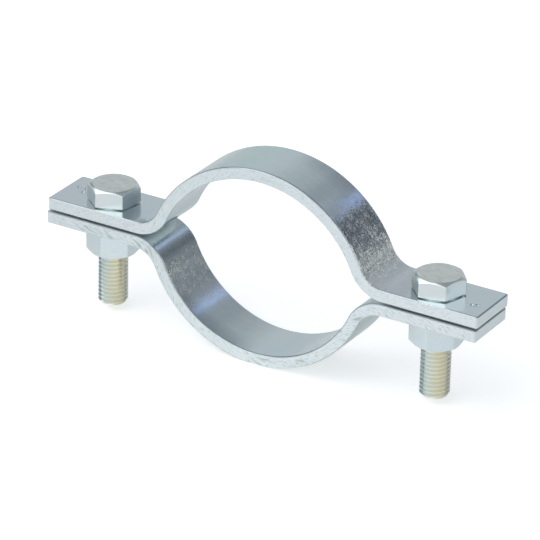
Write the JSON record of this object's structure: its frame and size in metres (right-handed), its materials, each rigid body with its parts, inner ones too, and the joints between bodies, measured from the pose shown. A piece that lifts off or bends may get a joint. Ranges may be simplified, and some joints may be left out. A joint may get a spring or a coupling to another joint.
{
  "type": "two-bolt pipe clamp",
  "caption": "Pipe clamp of bent zinc-plated flat bar: opposed halves with ears, drawn together by hexagon bolts and nuts.",
  "frame": {"origin": "middle of the pipe opening, on the split plane halfway between the ears and halfway across the bar", "axes": "+X towards the right ear, seen from the front; +Y along the pipe, away from the front edges; +Z towards the bolt heads"},
  "size_m": [0.1946, 0.025, 0.0832],
  "materials": {
    "strap_zinc": "bright zinc plate on hot-rolled flat bar, satin",
    "bolt_zinc": "bright zinc plate, faint warm passivation",
    "nut_zinc": "bright zinc plate, blue passivation"
  },
  "bodies": {
    "lower_half": {"lower_strap": "strap_zinc", "left_nut": "nut_zinc", "right_nut": "nut_zinc"},
    "upper_half": {"upper_strap": "strap_zinc"},
    "left_bolt": {"left_bolt": "bolt_zinc"},
    "right_bolt": {"right_bolt": "bolt_zinc"}
  },
  "joints": [
    {"name": "halves_open", "type": "slide", "parent": "lower_half", "child": "upper_half", "axis": [0, 0, 1], "range_m": [-0.00095, 0.021]},
    {"name": "left_bolt_turn", "type": "hinge", "parent": "upper_half", "child": "left_bolt", "pos_m": [-0.0737, 0, 0.0055], "axis": [0, 0, 1], "range_deg": [-196, 4321]},
    {"name": "right_bolt_turn", "type": "hinge", "parent": "upper_half", "child": "right_bolt", "pos_m": [0.0737, 0, 0.0055], "axis": [0, 0, 1], "range_deg": [-196, 4321]}
  ],
  "couplings": [
    {"joint": "left_bolt_turn", "follows": "halves_open", "rad_per_m": 3590.4},
    {"joint": "right_bolt_turn", "follows": "halves_open", "rad_per_m": 3590.4}
  ]
}
